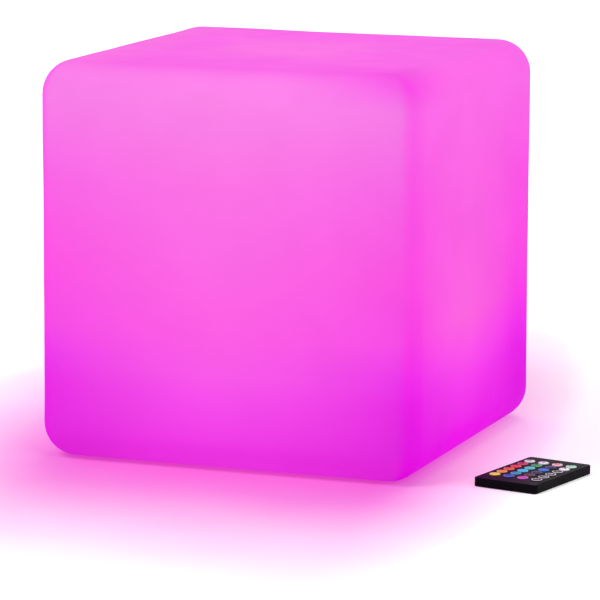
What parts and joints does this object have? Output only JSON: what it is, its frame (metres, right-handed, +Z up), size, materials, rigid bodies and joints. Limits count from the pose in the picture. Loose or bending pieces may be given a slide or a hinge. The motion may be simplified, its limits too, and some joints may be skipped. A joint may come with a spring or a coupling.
{
  "type": "led cube light",
  "caption": "Rounded moulded cube light for the garden with a sealed rechargeable lamp base in its underside, and a slim infrared remote lying beside it.",
  "frame": {"origin": "middle of the cube's underside, on the floor", "axes": "+Z up, +X to the right and -Y towards the viewer of the cube's front; the remote lies to the right"},
  "size_m": [0.4047, 0.3, 0.3],
  "materials": {
    "moulded_shell": "satin translucent polyethylene, lit pink from inside",
    "base_plastic": "fine moulded texture",
    "clear_cover": "frosted polycarbonate",
    "seal_rubber": "matt silicone",
    "brass_insert": "knurled",
    "screw_steel": "zinc plated",
    "cell_wrap": "shrink sleeve",
    "nickel": "bright nickel strip",
    "board_laminate": "solder mask",
    "light_board_laminate": "white solder mask",
    "component_black": "moulded packages",
    "led_package": "silicone filled",
    "receiver_black": "infrared window resin",
    "lead_red": "insulated wire",
    "lead_grey": "insulated wire",
    "switch_black": "nylon",
    "button_red": "polished",
    "light_pipe": "clear",
    "remote_case": "satin black film",
    "coin_steel": "brushed",
    "emitter_resin": "clear blue",
    "key_brightness_up": "domed cap with a silver rim",
    "key_brightness_down": "domed cap with a silver rim",
    "key_off": "domed cap with a silver rim",
    "key_on": "domed cap with a silver rim",
    "key_red": "domed cap with a silver rim",
    "key_green": "domed cap with a silver rim",
    "key_blue": "domed cap with a silver rim",
    "key_white": "domed cap with a silver rim",
    "key_scarlet": "domed cap with a silver rim",
    "key_turquoise": "domed cap with a silver rim",
    "key_azure": "domed cap with a silver rim",
    "key_flash": "domed cap with a silver rim",
    "key_orange": "domed cap with a silver rim",
    "key_cyan": "domed cap with a silver rim",
    "key_indigo": "domed cap with a silver rim",
    "key_strobe": "domed cap with a silver rim",
    "key_amber": "domed cap with a silver rim",
    "key_teal": "domed cap with a silver rim",
    "key_plum": "domed cap with a silver rim",
    "key_fade": "domed cap with a silver rim",
    "key_yellow": "domed cap with a silver rim",
    "key_navy": "domed cap with a silver rim",
    "key_magenta": "domed cap with a silver rim",
    "key_smooth": "domed cap with a silver rim"
  },
  "bodies": {
    "light": {"cube_shell": "moulded_shell", "shell_inserts": "brass_insert", "base_gasket": "seal_rubber", "base_tray": "base_plastic", "base_screws": "screw_steel", "inner_screws": "screw_steel", "battery_cells": "cell_wrap", "cell_tabs": "nickel", "battery_clamp": "base_plastic", "control_board": "board_laminate", "board_components": "component_black", "led_board": "light_board_laminate", "leds": "led_package", "ir_receiver": "receiver_black", "dome_cover": "clear_cover", "dome_gasket": "seal_rubber", "dome_screws": "screw_steel", "charge_socket": "switch_black", "switch_body": "switch_black", "button_spring": "nickel", "panel_nuts": "nickel", "flap_anchor": "seal_rubber", "indicator_lens": "light_pipe", "panel_leads": "nickel", "battery_leads": "lead_red", "led_leads": "lead_grey"},
    "power_button": {"power_button": "button_red"},
    "socket_flap": {"socket_flap": "seal_rubber"},
    "remote": {"remote_bottom_case": "remote_case", "remote_top_case": "remote_case", "remote_board": "board_laminate", "remote_key_domes": "nickel", "remote_ir_emitter": "emitter_resin", "remote_contacts": "nickel"},
    "battery_drawer": {"remote_battery_tray": "remote_case", "remote_coin_cell": "coin_steel"},
    "key_brightness_up": {"key_brightness_up": "key_brightness_up"},
    "key_brightness_down": {"key_brightness_down": "key_brightness_down"},
    "key_off": {"key_off": "key_off"},
    "key_on": {"key_on": "key_on"},
    "key_red": {"key_red": "key_red"},
    "key_green": {"key_green": "key_green"},
    "key_blue": {"key_blue": "key_blue"},
    "key_white": {"key_white": "key_white"},
    "key_scarlet": {"key_scarlet": "key_scarlet"},
    "key_turquoise": {"key_turquoise": "key_turquoise"},
    "key_azure": {"key_azure": "key_azure"},
    "key_flash": {"key_flash": "key_flash"},
    "key_orange": {"key_orange": "key_orange"},
    "key_cyan": {"key_cyan": "key_cyan"},
    "key_indigo": {"key_indigo": "key_indigo"},
    "key_strobe": {"key_strobe": "key_strobe"},
    "key_amber": {"key_amber": "key_amber"},
    "key_teal": {"key_teal": "key_teal"},
    "key_plum": {"key_plum": "key_plum"},
    "key_fade": {"key_fade": "key_fade"},
    "key_yellow": {"key_yellow": "key_yellow"},
    "key_navy": {"key_navy": "key_navy"},
    "key_magenta": {"key_magenta": "key_magenta"},
    "key_smooth": {"key_smooth": "key_smooth"}
  },
  "joints": [
    {"name": "power_button_press", "type": "slide", "parent": "light", "child": "power_button", "axis": [0, 0, 1], "range_m": [0, 0.0012], "stiffness_N_per_m": 800, "deforming": ["button_spring"]},
    {"name": "socket_flap_swing", "type": "hinge", "parent": "light", "child": "socket_flap", "pos_m": [0.01, -0.027, 0.01], "axis": [1, 0, 0], "range_deg": [0, 110]},
    {"name": "remote_lift", "type": "slide", "parent": "light", "child": "remote", "axis": [0, 0, 1], "range_m": [0, 0.15]},
    {"name": "battery_drawer_slide", "type": "slide", "parent": "remote", "child": "battery_drawer", "axis": [-0.2079, -0.9781, 0], "range_m": [0, 0.03]},
    {"name": "key_brightness_up_press", "type": "slide", "parent": "remote", "child": "key_brightness_up", "axis": [0, 0, -1], "range_m": [0, 0.0003], "stiffness_N_per_m": 200, "deforming": ["remote_key_domes"]},
    {"name": "key_brightness_down_press", "type": "slide", "parent": "remote", "child": "key_brightness_down", "axis": [0, 0, -1], "range_m": [0, 0.0003], "stiffness_N_per_m": 200, "deforming": ["remote_key_domes"]},
    {"name": "key_off_press", "type": "slide", "parent": "remote", "child": "key_off", "axis": [0, 0, -1], "range_m": [0, 0.0003], "stiffness_N_per_m": 200, "deforming": ["remote_key_domes"]},
    {"name": "key_on_press", "type": "slide", "parent": "remote", "child": "key_on", "axis": [0, 0, -1], "range_m": [0, 0.0003], "stiffness_N_per_m": 200, "deforming": ["remote_key_domes"]},
    {"name": "key_red_press", "type": "slide", "parent": "remote", "child": "key_red", "axis": [0, 0, -1], "range_m": [0, 0.0003], "stiffness_N_per_m": 200, "deforming": ["remote_key_domes"]},
    {"name": "key_green_press", "type": "slide", "parent": "remote", "child": "key_green", "axis": [0, 0, -1], "range_m": [0, 0.0003], "stiffness_N_per_m": 200, "deforming": ["remote_key_domes"]},
    {"name": "key_blue_press", "type": "slide", "parent": "remote", "child": "key_blue", "axis": [0, 0, -1], "range_m": [0, 0.0003], "stiffness_N_per_m": 200, "deforming": ["remote_key_domes"]},
    {"name": "key_white_press", "type": "slide", "parent": "remote", "child": "key_white", "axis": [0, 0, -1], "range_m": [0, 0.0003], "stiffness_N_per_m": 200, "deforming": ["remote_key_domes"]},
    {"name": "key_scarlet_press", "type": "slide", "parent": "remote", "child": "key_scarlet", "axis": [0, 0, -1], "range_m": [0, 0.0003], "stiffness_N_per_m": 200, "deforming": ["remote_key_domes"]},
    {"name": "key_turquoise_press", "type": "slide", "parent": "remote", "child": "key_turquoise", "axis": [0, 0, -1], "range_m": [0, 0.0003], "stiffness_N_per_m": 200, "deforming": ["remote_key_domes"]},
    {"name": "key_azure_press", "type": "slide", "parent": "remote", "child": "key_azure", "axis": [0, 0, -1], "range_m": [0, 0.0003], "stiffness_N_per_m": 200, "deforming": ["remote_key_domes"]},
    {"name": "key_flash_press", "type": "slide", "parent": "remote", "child": "key_flash", "axis": [0, 0, -1], "range_m": [0, 0.0003], "stiffness_N_per_m": 200, "deforming": ["remote_key_domes"]},
    {"name": "key_orange_press", "type": "slide", "parent": "remote", "child": "key_orange", "axis": [0, 0, -1], "range_m": [0, 0.0003], "stiffness_N_per_m": 200, "deforming": ["remote_key_domes"]},
    {"name": "key_cyan_press", "type": "slide", "parent": "remote", "child": "key_cyan", "axis": [0, 0, -1], "range_m": [0, 0.0003], "stiffness_N_per_m": 200, "deforming": ["remote_key_domes"]},
    {"name": "key_indigo_press", "type": "slide", "parent": "remote", "child": "key_indigo", "axis": [0, 0, -1], "range_m": [0, 0.0003], "stiffness_N_per_m": 200, "deforming": ["remote_key_domes"]},
    {"name": "key_strobe_press", "type": "slide", "parent": "remote", "child": "key_strobe", "axis": [0, 0, -1], "range_m": [0, 0.0003], "stiffness_N_per_m": 200, "deforming": ["remote_key_domes"]},
    {"name": "key_amber_press", "type": "slide", "parent": "remote", "child": "key_amber", "axis": [0, 0, -1], "range_m": [0, 0.0003], "stiffness_N_per_m": 200, "deforming": ["remote_key_domes"]},
    {"name": "key_teal_press", "type": "slide", "parent": "remote", "child": "key_teal", "axis": [0, 0, -1], "range_m": [0, 0.0003], "stiffness_N_per_m": 200, "deforming": ["remote_key_domes"]},
    {"name": "key_plum_press", "type": "slide", "parent": "remote", "child": "key_plum", "axis": [0, 0, -1], "range_m": [0, 0.0003], "stiffness_N_per_m": 200, "deforming": ["remote_key_domes"]},
    {"name": "key_fade_press", "type": "slide", "parent": "remote", "child": "key_fade", "axis": [0, 0, -1], "range_m": [0, 0.0003], "stiffness_N_per_m": 200, "deforming": ["remote_key_domes"]},
    {"name": "key_yellow_press", "type": "slide", "parent": "remote", "child": "key_yellow", "axis": [0, 0, -1], "range_m": [0, 0.0003], "stiffness_N_per_m": 200, "deforming": ["remote_key_domes"]},
    {"name": "key_navy_press", "type": "slide", "parent": "remote", "child": "key_navy", "axis": [0, 0, -1], "range_m": [0, 0.0003], "stiffness_N_per_m": 200, "deforming": ["remote_key_domes"]},
    {"name": "key_magenta_press", "type": "slide", "parent": "remote", "child": "key_magenta", "axis": [0, 0, -1], "range_m": [0, 0.0003], "stiffness_N_per_m": 200, "deforming": ["remote_key_domes"]},
    {"name": "key_smooth_press", "type": "slide", "parent": "remote", "child": "key_smooth", "axis": [0, 0, -1], "range_m": [0, 0.0003], "stiffness_N_per_m": 200, "deforming": ["remote_key_domes"]}
  ]
}
